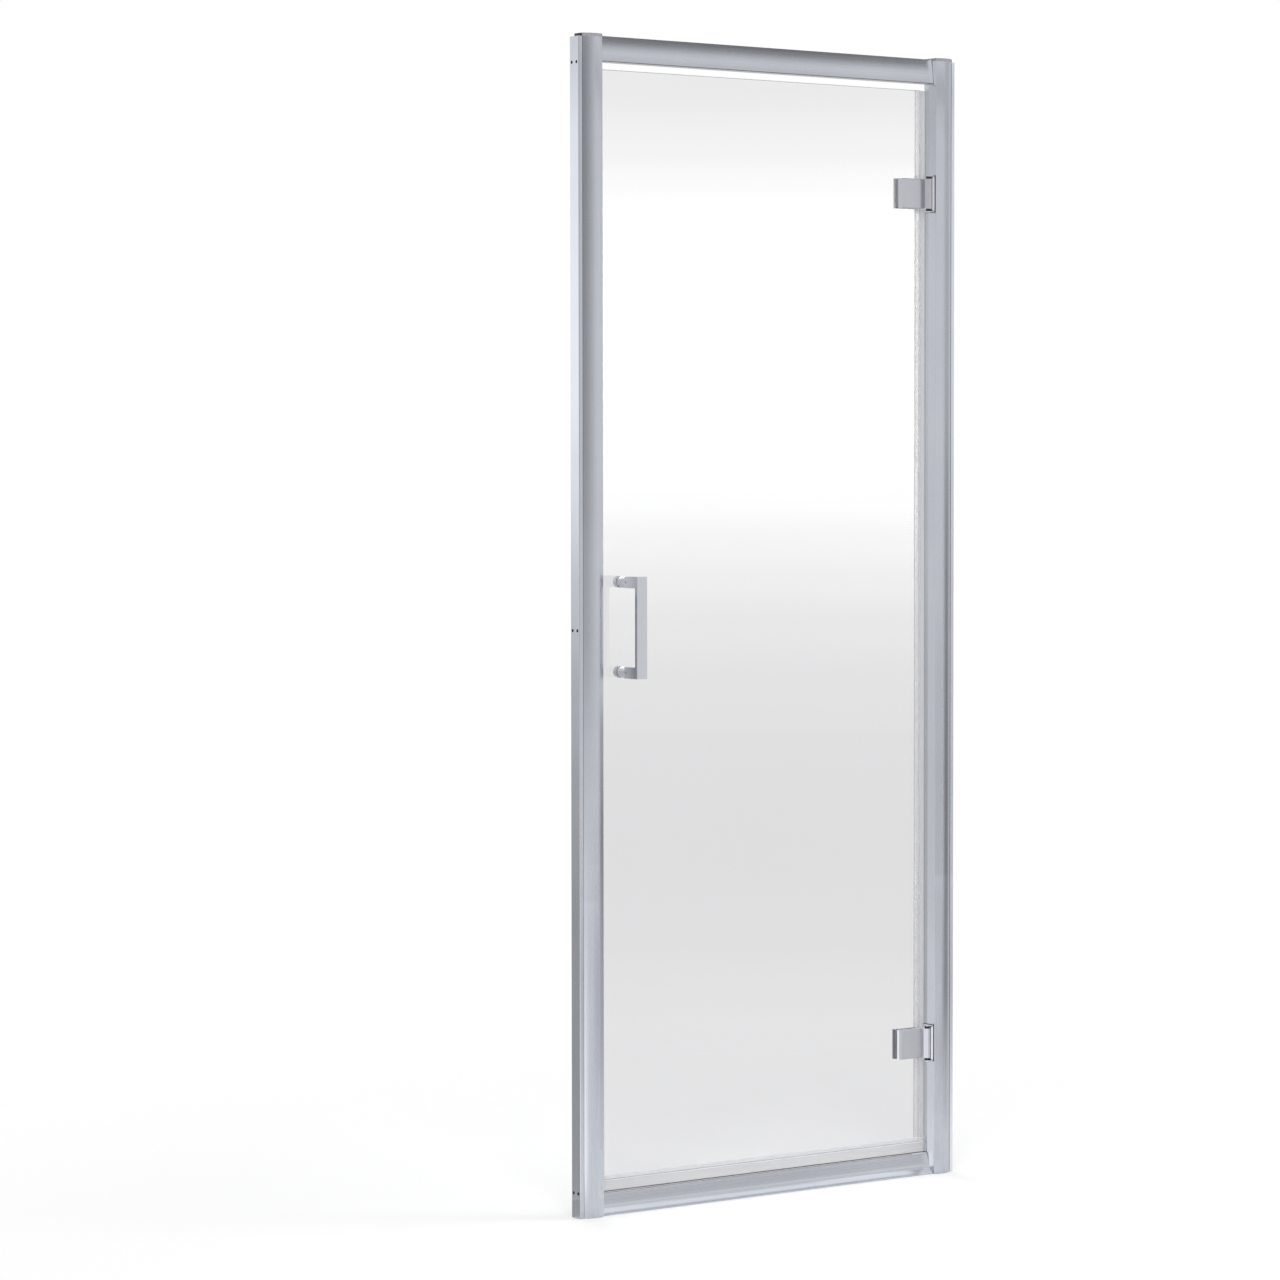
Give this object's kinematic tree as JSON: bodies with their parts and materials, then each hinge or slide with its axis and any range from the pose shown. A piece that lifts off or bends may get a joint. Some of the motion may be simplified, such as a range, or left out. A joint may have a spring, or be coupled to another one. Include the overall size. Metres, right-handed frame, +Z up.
{
  "type": "hinged shower door",
  "caption": "Framed hinged shower door: clear glass on offset hinges between rounded posts, with rails, sill, seals, magnetic strike, pull handle and wall channels.",
  "frame": {"origin": "on the floor under the sill, midway between the two walls, at mid depth of the wall channels", "axes": "+X along the door towards the hinge side, +Y from the room into the shower, +Z up"},
  "size_m": [0.756, 0.0708, 1.85],
  "materials": {
    "aluminium": "satin silver anodised",
    "chrome": "satin",
    "steel": "plain",
    "glass": "clear toughened",
    "clear_seal": "translucent soft",
    "grey_plastic": "satin",
    "black_plastic": "matt",
    "magnet": "matt",
    "gasket": "translucent",
    "nylon": "natural"
  },
  "bodies": {
    "frame": {"wall_channel_left": "aluminium", "wall_channel_right": "aluminium", "strike_post": "aluminium", "hinge_post": "aluminium", "strike_post_cap": "grey_plastic", "hinge_post_cap": "grey_plastic", "tongue_plugs": "black_plastic", "top_rail": "aluminium", "bottom_rail": "aluminium", "rail_screws": "steel", "channel_screws": "steel", "strike_seal": "clear_seal", "strike_magnet": "magnet", "lower_hinge_bracket": "chrome", "upper_hinge_bracket": "chrome", "bracket_pads": "black_plastic", "bracket_screws": "steel", "hinge_pins": "steel"},
    "door": {"glass_panel": "glass", "lower_hinge_leaf": "chrome", "upper_hinge_leaf": "chrome", "hinge_bushes": "black_plastic", "hinge_back_plates": "chrome", "hinge_gaskets": "gasket", "hinge_sleeves": "nylon", "clamp_screws": "steel", "hinge_side_seal": "clear_seal", "bottom_seal": "clear_seal", "door_magnet_seal": "clear_seal", "door_magnet": "magnet", "handle": "chrome", "handle_collars": "chrome", "handle_gaskets": "gasket", "handle_sleeves": "nylon", "handle_inner_caps": "chrome", "handle_bolts": "steel"}
  },
  "joints": [
    {"name": "door_swing", "type": "hinge", "parent": "frame", "child": "door", "pos_m": [0.3258, -0.008, 0.9229], "axis": [0, 0, 1], "range_deg": [0, 100]}
  ]
}
